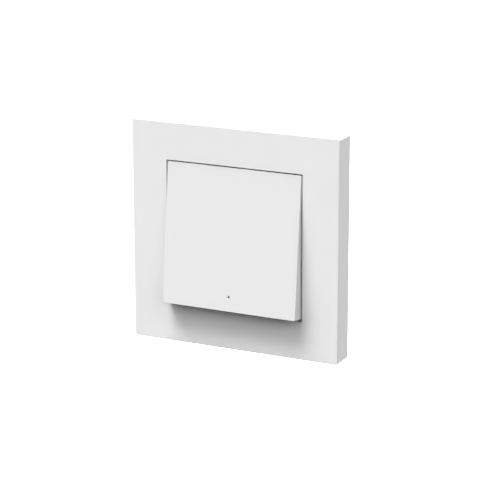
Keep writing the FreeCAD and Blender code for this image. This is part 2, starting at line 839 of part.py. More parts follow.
def make_pairing_switch():
    body = new_body("pairing_switch_body")
    outline = sketch(body, "pairing_outline", level="board_front")
    centred_box(outline, "pairing_side", "pairing_side", "0", "-light_place")
    pad(outline, "pairing_tall")
    bore = sketch(body, "pairing_bore", level="board_front + switch_floor")
    circle(bore, "0", "-light_place", "pairing_pin + 2 * pairing_pin_gap")
    cut(bore)
    return body


def make_pairing_plunger():
    body = new_body("pairing_plunger")
    outline = sketch(body, "pairing_pin_outline", level="board_front + switch_floor + pairing_lift")
    circle(outline, "0", "-light_place", "pairing_pin")
    pad(outline, "guide_flange_back - board_front - switch_floor - pairing_lift")
    return body


def make_light_guide():
    """A clear rod with a flange, turned about its own line through the pinhole."""
    body = new_body("light_guide")
    flange = sketch(body, "guide_flange_outline", level="guide_flange_back")
    circle(flange, "0", "-light_place", "guide_flange")
    pad(flange, "guide_flange_thick")
    rod = sketch(body, "guide_rod", level="guide_flange_back")
    circle(rod, "0", "-light_place", "guide_across")
    pad(rod, "guide_front - guide_flange_back")
    return body


def make_block(label, wide, high, tall, across, up):
    """A part soldered on the front of the board."""
    body = new_body(label)
    outline = sketch(body, label + "_outline", level="board_front")
    centred_box(outline, wide, high, across, up)
    pad(outline, tall)
    return body


def make_antenna():
    """A strip folded to and fro in one plane, standing on a leg at each end above the board."""
    body = new_body("antenna")
    stand = sketch(body, "antenna_legs", level="board_front")
    top = "board_side / 2 - board_corner - antenna_high"
    for side in ("-", ""):
        centred_box(stand, "antenna_strip", "antenna_strip", f"{side}3 * antenna_pitch",
                    f"{top} + antenna_strip / 2")
    pad(stand, "antenna_stand")
    bars = sketch(body, "antenna_bar", level="board_front + antenna_stand")
    centred_box(bars, "antenna_strip", "antenna_high", "-3 * antenna_pitch", f"{top} + antenna_high / 2")
    first_bar = pad(bars, "antenna_sheet")
    row = body.newObject("PartDesign::LinearPattern", "antenna_bars")
    row.Originals = [first_bar]
    row.Direction = origin(body, "X_Axis")
    row.setExpression("Length", bind("6 * antenna_pitch"))
    row.Occurrences = 7
    settle(body, row, grows=True)
    links = sketch(body, "antenna_links", level="board_front + antenna_stand")
    for step in range(-3, 3):
        low = top if step % 2 else f"{top} + antenna_high - antenna_strip"
        box(links, f"{step} * antenna_pitch", f"{step + 1} * antenna_pitch", low, f"{low} + antenna_strip")
    pad(links, "antenna_sheet")
    return body


def make_chip_components():
    """The small parts round the radio chip, as separate solids."""
    body = new_body("chip_components")
    outline = sketch(body, "chip_components_outline", level="board_front")
    for row in range(3):
        for column in range(4):
            centred_box(outline, "resistor_wide", "resistor_high",
                        f"-(chip_side + part_gap + resistor_wide / 2 + {column} * resistor_pitch_across)",
                        f"({row} - 1) * resistor_pitch_down")
    pad(outline, "resistor_tall")
    return body


def make_housing_screws():
    """Two like screws, driven from the back, as separate solids."""
    body = new_body("housing_screws")
    shanks = sketch(body, "screw_shanks", level="screw_seat")
    heads = sketch(body, "screw_heads", level="screw_seat - screw_head_thick")
    drives = sketch(body, "screw_drives", level="screw_seat - screw_head_thick")
    for across, up in opposite_corners("pillar_place"):
        circle(shanks, across, up, "screw_across")
        circle(heads, across, up, "screw_head")
        centred_box(drives, "screw_drive", "screw_drive_wide", across, up)
    pad(heads, "screw_head_thick")
    pad(shanks, "rear_floor_front + pilot_depth - screw_slack - screw_seat")
    cut(drives, "screw_drive_deep")
    return body


def make_all():
    bodies = [
        make_cover_frame(),
        make_mounting_plate(),
        make_rear_housing(),
        make_front_housing(),
        make_key(),
        make_board(),
    ]
    for side_name, side in (("left", "-"), ("right", "")):
        bodies.append(make_cell("coin_cell_" + side_name, side))
        bodies.append(make_positive_contact("positive_contact_" + side_name, side))
        bodies.append(make_negative_contact("negative_contact_" + side_name, side))
    for label, up in (("upper", "press_place"), ("lower", "-press_place")):
        bodies.append(make_switch(label, up))
        bodies.append(make_plunger(label, up))
    bodies += [
        make_pairing_switch(),
        make_pairing_plunger(),
        make_light_guide(),
        make_block("status_led", "led_wide", "led_high", "led_tall",
                   "0", "-light_place + pairing_side / 2 + led_high"),
        make_block("radio_chip", "chip_side", "chip_side", "chip_tall", "-chip_side / 2", "0"),
        make_block("quartz_crystal", "crystal_wide", "crystal_high", "crystal_tall",
                   "part_gap + crystal_wide / 2", "0"),
        make_block("reservoir_capacitor", "reservoir_wide", "reservoir_high", "reservoir_tall",
                   "2 * part_gap + crystal_wide + reservoir_wide / 2", "0"),
        make_antenna(),
        make_chip_components(),
        make_housing_screws(),
    ]
    return bodies


def check(bodies):
    for item in document.Objects:
        if "Invalid" in item.State or "Error" in item.State:
            raise RuntimeError(f"{item.Label}: {item.State}")
    for body in bodies:
        if body.Shape.isNull() or not body.Shape.isValid():
            raise RuntimeError(f"{body.Label} has no valid shape")


def write(bodies):
    os.makedirs("parts", exist_ok=True)
    for body in bodies:
        body.Shape.exportStep(f"parts/{body.Label}.step")
        print(body.Label, len(body.Shape.Solids), round(body.Shape.Volume, 2))


finished = make_all()
document.recompute()
check(finished)
write(finished)
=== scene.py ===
import math

import bmesh
import bpy
from bpy.props import FloatProperty, FloatVectorProperty, IntProperty, PointerProperty
from mathutils import Euler, Matrix, Vector


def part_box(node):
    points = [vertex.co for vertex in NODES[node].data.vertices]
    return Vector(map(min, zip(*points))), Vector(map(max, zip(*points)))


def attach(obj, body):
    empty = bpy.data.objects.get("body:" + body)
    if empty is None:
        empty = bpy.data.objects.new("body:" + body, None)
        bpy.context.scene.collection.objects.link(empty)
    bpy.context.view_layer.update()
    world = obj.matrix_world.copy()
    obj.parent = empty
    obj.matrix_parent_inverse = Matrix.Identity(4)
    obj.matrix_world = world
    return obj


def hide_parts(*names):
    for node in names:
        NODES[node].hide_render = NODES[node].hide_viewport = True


bl_info = {
    "name": "Wireless wall switch",
    "version": (1, 0, 0),
    "blender": (4, 5, 0),
    "location": "3D View > Sidebar > Wall switch",
    "description": "Finishes the wall switch and its circuit, and sets it in a pale studio",
    "category": "Object",
}

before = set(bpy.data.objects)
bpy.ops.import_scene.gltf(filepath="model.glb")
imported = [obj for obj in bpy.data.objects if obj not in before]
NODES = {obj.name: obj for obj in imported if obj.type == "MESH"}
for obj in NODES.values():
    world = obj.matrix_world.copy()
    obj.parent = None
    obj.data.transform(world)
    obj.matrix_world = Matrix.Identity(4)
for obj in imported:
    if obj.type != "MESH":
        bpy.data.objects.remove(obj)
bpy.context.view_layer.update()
UNIT = "switch_unit"
SIDES = ("left", "right")
MM = 0.001
PLASTIC_IOR = 1.49

# Sockets of a Mix node that mixes colours: its amount, its two colours and its output.
MIX_AMOUNT, MIX_LOW, MIX_HIGH, MIX_OUTPUT = 0, 6, 7, 2

# Steps of a full turn, and how near two points of a new piece are merged.
TURN_STEPS = 96
MERGE_DISTANCE = 1e-7

# The room's panels stand in four rows, each with a lowest and a highest angle above the horizon.
PANEL_ROWS = (
    ("low_panels", math.radians(-90), 0.0),
    ("side_panels", 0.0, math.radians(24.5)),
    ("upper_panels", math.radians(24.5), math.radians(47.5)),
    ("high_panels", math.radians(47.5), math.radians(70)),
)
# How softly a row ends above and below, as a difference of sines.
PANEL_BLUR = 0.02
# How far each wide panel is turned to the right of the front. Every row has all three.
PANEL_TURNS = [math.radians(turn) for turn in (-150, -30, 150)]
# The narrow panels at the front: the turn of each, and the row in which it stands.
SOFTBOXES = (
    (math.radians(-60), "side_panels"),
    (math.radians(-45), "upper_panels"),
    (math.radians(-45), "high_panels"),
    (math.radians(60), "side_panels"),
    (math.radians(60), "upper_panels"),
)


class Wire:
    """An output of a shader node, on which maths is written as an ordinary expression."""

    def __init__(self, tree, socket=None):
        self.tree = tree
        self.socket = socket

    def node(self, kind, settings=None, inputs=None, output=0):
        """Add a node: first its settings, then the values or links of its sockets."""
        made = self.tree.nodes.new(kind)
        for name, setting in (settings or {}).items():
            setattr(made, name, setting)
        for name, entry in (inputs or {}).items():
            if isinstance(entry, Wire):
                self.tree.links.new(entry.socket, made.inputs[name])
            else:
                made.inputs[name].default_value = entry
        return Wire(self.tree, made.outputs[output])

    def maths(self, operation, *numbers):
        return self.node("ShaderNodeMath", {"operation": operation}, dict(enumerate(numbers)))

    def __add__(self, other):
        return self.maths("ADD", self, other)

    def __sub__(self, other):
        return self.maths("SUBTRACT", self, other)

    def __mul__(self, other):
        return self.maths("MULTIPLY", self, other)

    def __truediv__(self, other):
        return self.maths("DIVIDE", self, other)

    def __radd__(self, other):
        return self.maths("ADD", other, self)

    def __rsub__(self, other):
        return self.maths("SUBTRACT", other, self)

    def __rmul__(self, other):
        return self.maths("MULTIPLY", other, self)

    def __abs__(self):
        return self.maths("ABSOLUTE", self)

    def parts(self):
        """The three numbers of a vector."""
        split = self.node("ShaderNodeSeparateXYZ", None, {0: self})
        return [Wire(self.tree, output) for output in split.socket.node.outputs]

    def below(self, limit, blur):
        """1 where the value is under the limit, fading to 0 over a blur."""
        return self.node("ShaderNodeMapRange", {"interpolation_type": "SMOOTHSTEP"}, {
            "Value": self, "From Min": limit, "From Max": limit + blur,
            "To Min": 1.0, "To Max": 0.0})

    def most(self, other):
        return self.maths("MAXIMUM", self, other)

    def swing(self, amount):
        """A noise's swing about its middle, from end to end by an amount."""
        return amount * (self - 0.5)

    def diagonal(self, other):
        """Length of the diagonal between this side and another at right angles to it."""
        return self.maths("SQRT", self * self + other * other)

    def off_centre(self, pitch, shift=0.0):
        """Distance to the nearest of a row of points that are a pitch apart."""
        return self.maths("PINGPONG", self - shift, pitch / 2)


class Finish:
    """A material under way: its object coordinates, its noises and the sockets of its shader."""

    def __init__(self, name):
        self.material = bpy.data.materials.new(name)
        self.material.use_nodes = True
        self.tree = self.material.node_tree
        self.shader = next(node for node in self.tree.nodes if node.type == "BSDF_PRINCIPLED")
        self.place = Wire(self.tree).node("ShaderNodeTexCoord", output="Object")
        self.across, self.deep, self.up = self.place.parts()

    def noise(self, size, detail=2.0, distortion=0.0, stretch=None):
        """Noise between 0 and 1 whose lumps are about the given size in metres."""
        place = self.place
        if stretch:
            place = place.node("ShaderNodeMapping", None, {"Vector": place, "Scale": stretch})
        return self.place.node("ShaderNodeTexNoise", None, {
            "Vector": place, "Scale": 1.0 / size, "Detail": detail, "Distortion": distortion})

    def blend(self, amount, low, high):
        """A colour between two, by an amount from 0 to 1."""
        colours = {MIX_AMOUNT: amount, MIX_LOW: opaque(low), MIX_HIGH: opaque(high)}
        return self.place.node("ShaderNodeMix", {"data_type": "RGBA"}, colours, MIX_OUTPUT)

    def set(self, **sockets):
        """Set the shader's sockets, named with underscores for spaces, to values or links."""
        for name, entry in sockets.items():
            socket = self.shader.inputs[name.replace("_", " ")]
            if isinstance(entry, Wire):
                self.tree.links.new(entry.socket, socket)
            else:
                socket.default_value = entry

    def relief(self, height, depth):
        """Bump the surface by a height from 0 to 1 that stands for a depth in metres."""
        self.set(Normal=self.place.node("ShaderNodeBump", None, {
            "Strength": 1.0, "Distance": depth, "Height": height}))


def opaque(colour):
    """A colour with full cover. A linked colour stays as it is."""
    return colour if isinstance(colour, Wire) else (*colour[:3], 1.0)


def scaled(colour, factor):
    """A lighter or darker colour, at most white."""
    return tuple(min(channel * factor, 1.0) for channel in colour[:3])


def middle(node):
    """The middle of a node's box."""
    low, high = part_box(node)
    return (low + high) / 2


def coat_node(name, material):
    """Give a CAD node's slots a finish."""
    for slot in NODES[name].material_slots:
        slot.material = material


def new_piece(name, build, material, body, smooth_angle=35.0):
    """A new object at the origin, from a function that fills a bmesh. It rides on a body."""
    form = bmesh.new()
    build(form)
    bmesh.ops.remove_doubles(form, verts=form.verts, dist=MERGE_DISTANCE)
    bmesh.ops.recalc_face_normals(form, faces=form.faces)
    if not form.faces:
        raise RuntimeError(f"{name} has no faces")
    mesh = bpy.data.meshes.new(name)
    form.to_mesh(mesh)
    form.free()
    mesh.materials.append(material)
    piece = bpy.data.objects.new(name, mesh)
    bpy.context.collection.objects.link(piece)
    mesh.shade_smooth()
    mesh.set_sharp_from_angle(angle=math.radians(smooth_angle))
    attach(piece, body)
    return piece


def spin_profile(form, profile, centre):
    """Turn an outline of radius and depth pairs about a line that runs from front to back."""
    corners = [form.verts.new((centre.x + radius, -depth, centre.z)) for radius, depth in profile]
    lines = [form.edges.new(pair) for pair in zip(corners, corners[1:])]
    bmesh.ops.spin(form, geom=corners + lines, cent=(centre.x, 0, centre.z), axis=(0, 1, 0),
                   angle=math.tau, steps=TURN_STEPS, use_merge=True)


# Finishes

def white_plastic(name, colour, looks, marks=False, shaded_pinhole=False):
    """Satin moulded plastic: a fine spark-eroded grain over a face that is very slightly wavy, with
    painted shade in the key's pinhole where asked.
    """
    cloud_size, flow_size = 9 * MM, 26 * MM
    darkest, lightest = 0.985, 1.012
    grain_share, flow_share, mark_depth = 0.3, 0.7, 1.6
    finish = Finish(name)
    grain = finish.noise(looks.grain_size, detail=3.0)
    cloud = finish.noise(cloud_size, detail=2.0)
    flow = finish.noise(flow_size, detail=1.0)
    tone = finish.blend(cloud, scaled(colour, darkest), scaled(colour, lightest))
    # The key's pinhole and light well are painted near black: painted shade.
    if shaded_pinhole:
        tone = finish.blend(pinhole_painted_shade(finish), tone, looks.pinhole_shade_colour)
    finish.set(Base_Color=tone,
               Roughness=looks.plastic_roughness + grain.swing(0.07) + cloud.swing(0.05),
               IOR=PLASTIC_IOR, Specular_IOR_Level=0.42)
    height = grain_share * grain + flow_share * flow
    if marks:
        height = height - mark_depth * pin_marks(finish)
    finish.relief(height, looks.grain_height)
    return finish.material


def pinhole_painted_shade(finish):
    """Painted shade: a near-black colour in the key's pinhole and the light well behind it, where
    the hole is dark with shade.
    """
    hole_radius, hole_blur = 0.41 * MM, 0.01 * MM
    well_radius, well_blur = 1.21 * MM, 0.02 * MM
    skin = 1.0 * MM
    guide = middle("light_guide")
    away = (finish.across - guide.x).diagonal(finish.up - guide.z)
    key_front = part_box("rocker")[0].y
    behind_skin = 1.0 - finish.deep.below(key_front + skin, well_blur)
    hole = away.below(hole_radius, hole_blur)
    return hole.most(away.below(well_radius, well_blur) * behind_skin)


def pin_marks(finish):
    """Shallow round marks of ejector pins, in a square pattern seen from the front or back."""
    pitch, radius, blur = 15 * MM, 1.6 * MM, 0.08 * MM
    across = finish.across.off_centre(pitch, pitch / 4)
    up = finish.up.off_centre(pitch, pitch / 4)
    return across.diagonal(up).below(radius, blur)


def clear_plastic(name):
    """The polished light guide: milky inside, clear at its skin."""
    cloud_size, ripple = 0.8 * MM, 0.004 * MM
    milky, clear = (0.86, 0.88, 0.88), (0.95, 0.96, 0.96)
    finish = Finish(name)
    cloud = finish.noise(cloud_size, detail=3.0)
    finish.set(Base_Color=finish.blend(cloud, milky, clear), Roughness=0.08 + 0.1 * cloud,
               IOR=PLASTIC_IOR, Transmission_Weight=0.85)
    finish.relief(cloud, ripple)
    return finish.material


def metal(name, colour, roughness, brushed=None, spots=0.0):
    """Sheet or turned metal with faint brushing and a little tarnish."""
    scratch_size, tarnish_size, scratch_depth = 0.12 * MM, 2.5 * MM, 0.006 * MM
    tarnished = 0.86
    finish = Finish(name)
    scratch = finish.noise(scratch_size, detail=4.0, stretch=brushed)
    tarnish = finish.noise(tarnish_size, detail=4.0, distortion=0.6)
    tone = finish.blend(tarnish, scaled(colour, tarnished - spots), colour)
    finish.set(Base_Color=tone, Metallic=1.0,
               Roughness=roughness + scratch.swing(0.22) + tarnish.swing(0.12))
    finish.relief(scratch, scratch_depth)
    return finish.material


def board_laminate(name, looks):
    """Green solder mask over copper: tracks stand up a little and look paler, with plated vias
    whose holes are painted near black as shade.
    """
    weave_size, cloud_size, lane_size = 0.35 * MM, 6 * MM, 7 * MM
    track_pitch, track_half_width, track_blur = 1.4 * MM, 0.16 * MM, 0.04 * MM
    via_pitch, via_radius, via_blur = 2.8 * MM, 0.24 * MM, 0.03 * MM
    hole_radius, hole_blur = 0.1 * MM, 0.02 * MM
    long_lanes_under, cross_lanes_over, lane_blur = 0.46, 0.56, 0.01
    vias_over, vias_blur = 0.5, 0.02
    darkest, lightest = 0.8, 1.55
    plating, hole_painted_shade = (0.72, 0.66, 0.5), (0.03, 0.03, 0.03)
    copper_height = 0.035 * MM
    finish = Finish(name)
    weave = finish.noise(weave_size, detail=2.0, stretch=(1.0, 1.0, 0.35))
    cloud = finish.noise(cloud_size, detail=2.0)
    lane = finish.noise(lane_size, detail=0.0)
    long_tracks = finish.across.off_centre(track_pitch).below(track_half_width, track_blur)
    long_tracks = lane.below(long_lanes_under, lane_blur) * long_tracks
    cross_tracks = finish.up.off_centre(track_pitch).below(track_half_width, track_blur)
    cross_tracks = (1.0 - lane.below(cross_lanes_over, lane_blur)) * cross_tracks
    tracks = long_tracks.most(cross_tracks)
    across = finish.across.off_centre(via_pitch)
    away = across.diagonal(finish.up.off_centre(via_pitch, via_pitch / 4))
    vias = away.below(via_radius, via_blur) * (1.0 - cloud.below(vias_over, vias_blur))
    holes = away.below(hole_radius, hole_blur) * vias
    green = looks.board_colour
    mask = finish.blend(tracks, scaled(green, darkest), scaled(green, lightest))
    plated = finish.blend(vias, mask, plating)
    # The vias' holes are painted near black: painted shade in holes that the board's faces don't
    # have.
    finish.set(Base_Color=finish.blend(holes, plated, hole_painted_shade), Metallic=vias * (1.0 - holes),
               Roughness=0.3 + 0.12 * weave - 0.06 * vias, Coat_Weight=0.25)
    finish.relief(0.6 * tracks + 0.5 * vias + 0.25 * weave - holes, copper_height)
    return finish.material


def chip_epoxy(name):
    """The radio chip: black epoxy, with a mark in one corner and tinned lands along its edges."""
    grit_size, mark_depth = 0.06 * MM, 0.03 * MM
    land_pitch, land_half_width, land_top = 0.5 * MM, 0.12 * MM, 0.43 * MM
    mark_radius, mark_blur, mark_place = 0.3 * MM, 0.04 * MM, 0.68
    fine_blur = 0.02 * MM
    black, grey, tin = (0.018, 0.018, 0.02), (0.05, 0.05, 0.052), (0.7, 0.69, 0.66)
    finish = Finish(name)
    low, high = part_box("radio_chip")
    centre = (low + high) / 2
    half = (high.x - low.x) / 2
    across = finish.across - centre.x
    up = finish.up - centre.z
    grit = finish.noise(grit_size, detail=3.0)
    lands = across.off_centre(land_pitch).below(land_half_width, fine_blur)
    lands = lands.most(up.off_centre(land_pitch).below(land_half_width, fine_blur))
    rim = (half - abs(across).most(abs(up))).below(fine_blur, fine_blur / 2)
    near_board = 1.0 - finish.deep.below(low.y + land_top, fine_blur)
    tinned = lands * rim * near_board
    corner = (across + half * mark_place).diagonal(up - half * mark_place)
    mark = corner.below(mark_radius, mark_blur)
    finish.set(Base_Color=finish.blend(tinned, finish.blend(grit, black, grey), tin),
               Metallic=tinned,
               Roughness=0.62 - 0.3 * mark - 0.25 * tinned + grit.swing(0.1))
    finish.relief(0.3 * grit - mark, mark_depth)
    return finish.material


def chip_part(name, looks):
    """Small ceramic parts with tinned ends, in rows on the board."""
    grit_size, grit_depth = 0.08 * MM, 0.01 * MM
    end_blur, bare_share = 0.03 * MM, 0.28
    brown, tan, tin = (0.3, 0.2, 0.11), (0.46, 0.33, 0.2), (0.75, 0.74, 0.71)
    finish = Finish(name)
    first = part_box("chip_components")[0].x + looks.part_length / 2
    grit = finish.noise(grit_size, detail=3.0)
    away = finish.across.off_centre(looks.part_pitch, first)
    ends = 1.0 - away.below(looks.part_length * bare_share, end_blur)
    finish.set(Base_Color=finish.blend(ends, finish.blend(grit, brown, tan), tin), Metallic=ends,
               Roughness=0.5 - 0.15 * ends + grit.swing(0.1))
    finish.relief(grit, grit_depth)
    return finish.material


def reservoir_case(name):
    """A moulded amber case with a paler band at one end and the joint line of its mould."""
    grit_size, seam_depth = 0.1 * MM, 0.03 * MM
    band_width, band_blur, seam_half_width = 1.1 * MM, 0.05 * MM, 0.02 * MM
    dark_amber, amber, pale = (0.55, 0.3, 0.06), (0.68, 0.4, 0.1), (0.82, 0.62, 0.32)
    finish = Finish(name)
    low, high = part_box("reservoir_capacitor")
    grit = finish.noise(grit_size, detail=3.0)
    band = (finish.across - low.x).below(band_width, band_blur)
    joint = (low.y + high.y) / 2
    seam = abs(finish.deep - joint).below(seam_half_width, seam_half_width)
    finish.set(Base_Color=finish.blend(band, finish.blend(grit, dark_amber, amber), pale),
               Roughness=0.42 + grit.swing(0.12))
    finish.relief(0.3 * grit - 0.7 * seam, seam_depth)
    return finish.material


def lamp_resin(name):
    """The indicator lamp: a white case with a yellow window of phosphor in the middle."""
    window_half, window_blur, window_shape = 0.42 * MM, 0.05 * MM, 1.6
    grit_size, window_depth = 0.05 * MM, 0.02 * MM
    white, phosphor = (0.8, 0.79, 0.76), (0.82, 0.7, 0.2)
    finish = Finish(name)
    centre = middle("status_led")
    aside = abs(finish.across - centre.x).most(window_shape * abs(finish.up - centre.z))
    window = aside.below(window_half, window_blur)
    grit = finish.noise(grit_size, detail=2.0)
    finish.set(Base_Color=finish.blend(window, white, phosphor),
               Roughness=0.45 - 0.25 * window + grit.swing(0.08))
    finish.relief(0.2 * grit - window, window_depth)
    return finish.material


def dull_nylon(name, colour):
    """Dull filled nylon of the switch bodies, the plungers and the cells' gaskets."""
    grain_size, flow_size, grain_depth = 0.09 * MM, 1.4 * MM, 0.012 * MM
    darkest, lightest = 0.75, 1.3
    finish = Finish(name)
    grain = finish.noise(grain_size, detail=3.0)
    flow = finish.noise(flow_size, detail=3.0, distortion=1.2)
    finish.set(Base_Color=finish.blend(flow, scaled(colour, darkest), scaled(colour, lightest)),
               Roughness=0.5 + grain.swing(0.15))
    finish.relief(0.6 * grain + 0.4 * flow, grain_depth)
    return finish.material


# New pieces

def cell_can(centre, back, front, looks):
    """A coin cell's can and cap as one turned outline, crimped round the cap."""
    radius = looks.cell_diameter / 2
    edge = looks.cell_edge
    cap = radius - looks.crimp_width
    step = looks.cap_step
    crimp = front - step
    groove = crimp - 0.3 * edge
    face = front - 0.14 * step
    profile = [
        # From the middle of the back to the rounded rim
        (0.0, back), (radius - 1.6 * edge, back), (radius - 0.8 * edge, back + 0.12 * edge),
        (radius - 0.25 * edge, back + 0.5 * edge), (radius, back + 1.3 * edge),
        # Up the side and over the crimp
        (radius, crimp - 1.1 * edge), (radius - 0.2 * edge, crimp - 0.4 * edge),
        (radius - 0.8 * edge, crimp), (cap + 0.5 * edge, crimp),
        # The groove, then up the cap and in to its middle
        (cap + 0.3 * edge, groove), (cap + 0.1 * edge, groove),
        (cap - 0.1 * edge, front - 0.55 * step), (cap - 0.6 * edge, front - 0.12 * step),
        (cap - 1.4 * edge, front), (cap - 5.0 * edge, front), (cap - 5.5 * edge, face),
        (0.0, face),
    ]

    def build(form):
        spin_profile(form, profile, centre)
    return build


def cell_gasket(centre, front, looks):
    """The thin ring that shows between the can's crimp and the cap."""
    edge = looks.cell_edge
    cap = looks.cell_diameter / 2 - looks.crimp_width
    inside, crown, outside = cap + 0.05 * edge, cap + 0.3 * edge, cap + 0.5 * edge
    level = front - looks.cap_step
    foot = level - 0.6 * edge
    profile = [(inside, foot), (inside, level + 0.15 * edge), (crown, level + 0.3 * edge),
               (outside, level + 0.1 * edge), (outside, foot), (inside, foot)]

    def build(form):
        spin_profile(form, profile, centre)
    return build


def solder_fillets(places, level, looks):
    """Low domes of solder on the back of the board, where the contacts' feet end."""
    sides, rings, cut_distance = 20, 10, 1e-8
    size = Matrix.Diagonal((
        looks.solder_length / 2, looks.solder_height, looks.solder_width / 2, 1.0))

    def build(form):
        for across, up, turn in places:
            dome = bmesh.ops.create_uvsphere(form, u_segments=sides, v_segments=rings, radius=1.0)
            place = Matrix.Translation((across, level, up)) @ Matrix.Rotation(turn, 4, "Y")
            bmesh.ops.transform(form, verts=dome["verts"], matrix=place @ size)
        bmesh.ops.bisect_plane(form, geom=form.verts[:] + form.edges[:] + form.faces[:],
                               dist=cut_distance, plane_co=(0, level, 0), plane_no=(0, 1, 0),
                               clear_outer=True)
        bmesh.ops.holes_fill(form, edges=[edge for edge in form.edges if edge.is_boundary])
    return build


# Stage

def lay_floor(studio):
    """A round floor that curves up into a low surround. It is there for the camera alone."""
    cloud_size, darkest, glow = 0.4, 0.985, 0.35
    cove_share, merge_distance = 0.3, 1e-5
    finish = Finish("floor_pale")
    cloud = finish.noise(cloud_size, detail=2.0)
    tone = finish.blend(cloud, scaled(studio.floor_colour, darkest), studio.floor_colour)
    finish.set(Base_Color=tone, Roughness=0.85,
               Emission_Color=(1.0, 1.0, 1.0, 1.0), Emission_Strength=glow)
    radius = studio.floor_radius
    cove = cove_share * radius
    form = bmesh.new()
    corners = [form.verts.new((0.0, 0.0, 0.0))]
    for step in range(studio.cove_steps + 1):
        turn = math.pi / 2 * step / studio.cove_steps
        corners.append(form.verts.new((
            radius - cove + cove * math.sin(turn), 0.0, cove - cove * math.cos(turn))))
    corners.append(form.verts.new((radius, 0.0, radius)))
    lines = [form.edges.new(pair) for pair in zip(corners, corners[1:])]
    bmesh.ops.spin(form, geom=corners + lines, cent=(0, 0, 0), axis=(0, 0, 1), angle=math.tau,
                   steps=TURN_STEPS, use_merge=True)
    bmesh.ops.remove_doubles(form, verts=form.verts, dist=merge_distance)
    bmesh.ops.recalc_face_normals(form, faces=form.faces)
    bmesh.ops.reverse_faces(form, faces=form.faces)
    mesh = bpy.data.meshes.new("studio_floor")
    form.to_mesh(mesh)
    form.free()
    mesh.shade_smooth()
    mesh.materials.append(finish.material)
    floor = bpy.data.objects.new("studio_floor", mesh)
    bpy.context.collection.objects.link(floor)
    floor.location.z = -studio.floor_drop
    floor.visible_diffuse = floor.visible_glossy = floor.visible_transmission = False
    floor.visible_shadow = False


def light_room(scene, studio):
    """Soft panels round the switch in four rows, three wide ones in each, and a few narrow ones."""
    world = bpy.data.worlds.new("studio_room")
    world.use_nodes = True
    tree = world.node_tree
    background = next(node for node in tree.nodes if node.type == "BACKGROUND")
    direction = Wire(tree).node("ShaderNodeTexCoord", output="Generated")
    across, deep, up = direction.parts()
    # Straight up, where this would be 0, it still has to divide.
    flat = across.diagonal(deep).most(1e-4)

    def lobe(turn):
        """1 towards an azimuth, falling smoothly to 0 at right angles to it."""
        towards = ((across * math.sin(turn) - deep * math.cos(turn)) / flat).most(0.0)
        facing = towards * towards
        return facing * facing

    def narrow_lobe(turn):
        """The same, but much narrower."""
        narrow = lobe(turn)
        narrow = narrow * narrow
        return narrow * narrow

    def band(low, high):
        """1 between two angles above the horizon."""
        return up.below(math.sin(high), PANEL_BLUR) * (1.0 - up.below(math.sin(low), PANEL_BLUR))

    lobes = [lobe(turn) for turn in PANEL_TURNS]
    total = 0.0
    for row, low, high in PANEL_ROWS:
        shine = sum(panel * level for panel, level in zip(lobes, getattr(studio, row)))
        for (turn, place), level in zip(SOFTBOXES, studio.softboxes):
            if place == row:
                shine = shine + narrow_lobe(turn) * level
        total = total + band(low, high) * shine
    tree.links.new(total.socket, background.inputs["Color"])
    background.inputs["Strength"].default_value = 1.0
    scene.world = world


def hang_lamp(studio):
    """One very wide soft lamp overhead, a little to the left and front."""
    lamp = bpy.data.lights.new("overhead_softbox", "SUN")
    lamp.energy = studio.overhead_strength
    lamp.angle = studio.overhead_angle
    holder = bpy.data.objects.new("overhead_softbox", lamp)
    bpy.context.collection.objects.link(holder)
    holder.rotation_euler = Vector(studio.overhead_place).to_track_quat("Z", "Y").to_euler()
    holder.location = studio.overhead_place


def place_camera(scene, studio):
    """The photograph's view: the camera looks at a point from a turn, a height and a distance."""
    sensor_width, nearest, farthest = 36.0, 0.01, 30.0
    camera = bpy.data.cameras.new("photo_camera")
    camera.sensor_width = sensor_width
    camera.lens = studio.camera_lens
    camera.clip_start, camera.clip_end = nearest, farthest
    holder = bpy.data.objects.new("photo_camera", camera)
    bpy.context.collection.objects.link(holder)
    turn, rise = studio.camera_azimuth, studio.camera_elevation
    level = math.cos(rise)
    back = Vector((math.sin(turn) * level, -math.cos(turn) * level, math.sin(rise)))
    upright = (-back).to_track_quat("-Z", "Y").to_matrix()
    rolled = upright @ Euler((0.0, 0.0, studio.camera_roll)).to_matrix()
    holder.rotation_euler = rolled.to_euler()
    holder.location = Vector(studio.aim) + back * studio.camera_distance
    scene.camera = holder


# Sizes and colours that a user would change

